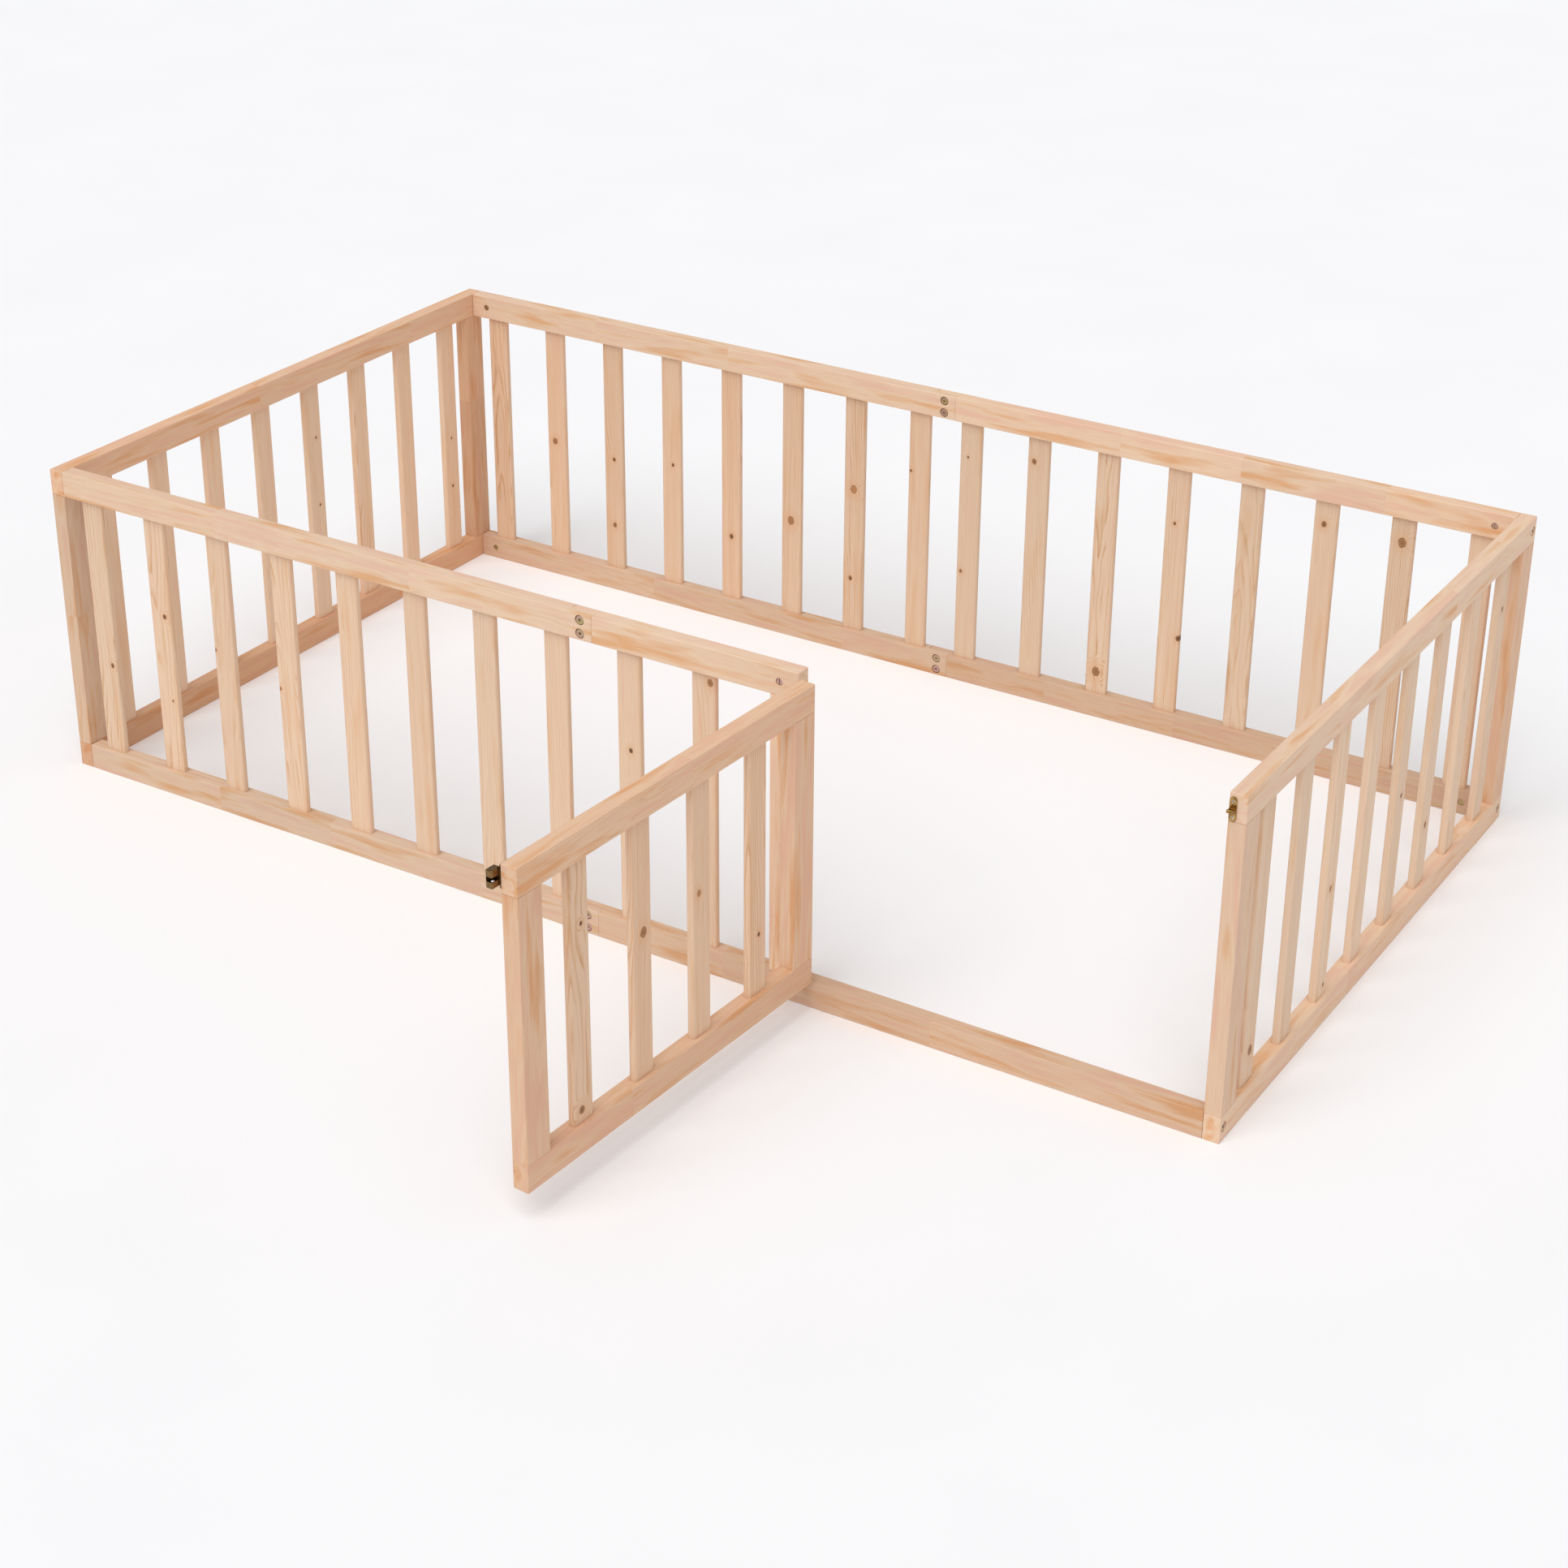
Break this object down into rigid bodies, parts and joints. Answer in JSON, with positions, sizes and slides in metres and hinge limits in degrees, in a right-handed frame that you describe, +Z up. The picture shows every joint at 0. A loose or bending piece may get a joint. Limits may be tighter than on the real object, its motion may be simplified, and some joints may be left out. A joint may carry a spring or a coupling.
{
  "type": "playpen",
  "caption": "Low rectangular slatted wooden playpen made of bolted fence panels, with a hinged slatted door that opens outwards and a ball catch.",
  "frame": {"origin": "on the floor, under the middle of the whole object's box with the door standing open as at rest", "axes": "+X along the long side towards the doorway's end, +Y from the front with the door to the back, +Z up"},
  "size_m": [1.96, 1.6579, 0.5],
  "materials": {
    "pine_rail": "planed and sanded natural pine, no varnish, eased edges",
    "pine_slat": "sanded natural pine slat with rounded long edges and small knots",
    "yellow_zinc": "yellow-passivated zinc plated steel, satin",
    "brass_plate": "brass plated steel, satin",
    "steel_ball": "polished steel ball"
  },
  "bodies": {
    "pen": {"back_bottom_lap_bolt_lower": "yellow_zinc", "back_bottom_lap_bolt_upper": "yellow_zinc", "back_left_ladder": "pine_rail", "back_left_top_rail": "pine_rail", "back_right_ladder": "pine_rail", "back_right_top_rail": "pine_rail", "back_top_lap_bolt_lower": "yellow_zinc", "back_top_lap_bolt_upper": "yellow_zinc", "catch_strike": "brass_plate", "front_bottom_lap_bolt_lower": "yellow_zinc", "front_bottom_lap_bolt_upper": "yellow_zinc", "front_door_post": "pine_rail", "front_left_ladder": "pine_rail", "front_left_top_rail": "pine_rail", "front_right_bottom_rail": "pine_rail", "front_right_slat_1": "pine_slat", "front_right_slat_2": "pine_slat", "front_right_top_rail": "pine_rail", "front_spare_barrel_nut": "yellow_zinc", "front_top_lap_bolt_lower": "yellow_zinc", "front_top_lap_bolt_upper": "yellow_zinc", "left_back_bottom_barrel_nut": "yellow_zinc", "left_back_bottom_corner_bolt": "yellow_zinc", "left_back_top_barrel_nut": "yellow_zinc", "left_back_top_corner_bolt": "yellow_zinc", "left_end_back_stile": "pine_rail", "left_end_front_stile": "pine_rail", "left_end_ladder": "pine_rail", "left_end_top_rail": "pine_rail", "left_front_bottom_barrel_nut": "yellow_zinc", "left_front_bottom_corner_bolt": "yellow_zinc", "left_front_top_barrel_nut": "yellow_zinc", "left_front_top_corner_bolt": "yellow_zinc", "lower_hinge_post_leaf": "brass_plate", "right_back_bottom_barrel_nut": "yellow_zinc", "right_back_bottom_corner_bolt": "yellow_zinc", "right_back_top_barrel_nut": "yellow_zinc", "right_back_top_corner_bolt": "yellow_zinc", "right_end_back_stile": "pine_rail", "right_end_front_stile": "pine_rail", "right_end_ladder": "pine_rail", "right_end_top_rail": "pine_rail", "right_front_bottom_barrel_nut": "yellow_zinc", "right_front_bottom_corner_bolt": "yellow_zinc", "upper_hinge_post_leaf": "brass_plate"},
    "door": {"catch_housing": "brass_plate", "door_bottom_rail": "pine_rail", "door_hinge_stile": "pine_rail", "door_latch_stile": "pine_rail", "door_slat_1": "pine_slat", "door_slat_2": "pine_slat", "door_slat_3": "pine_slat", "door_slat_4": "pine_slat", "door_top_rail": "pine_rail", "lower_hinge_door_leaf": "brass_plate", "upper_hinge_door_leaf": "brass_plate"},
    "upper_ball": {"catch_ball_upper": "steel_ball"},
    "lower_ball": {"catch_ball_lower": "steel_ball"}
  },
  "joints": [
    {"name": "door_hinge", "type": "hinge", "parent": "pen", "child": "door", "pos_m": [0.3507, -0.2155, 0.271], "axis": [0, 0, 1], "range_deg": [-86.3, 93.3]},
    {"name": "upper_ball_spring", "type": "slide", "parent": "door", "child": "upper_ball", "axis": [0, 0, 1], "range_m": [0, 0.0016], "stiffness_N_per_m": 400, "springref_m": -0.002},
    {"name": "lower_ball_spring", "type": "slide", "parent": "door", "child": "lower_ball", "axis": [0, 0, -1], "range_m": [0, 0.0016], "stiffness_N_per_m": 400, "springref_m": -0.002}
  ]
}
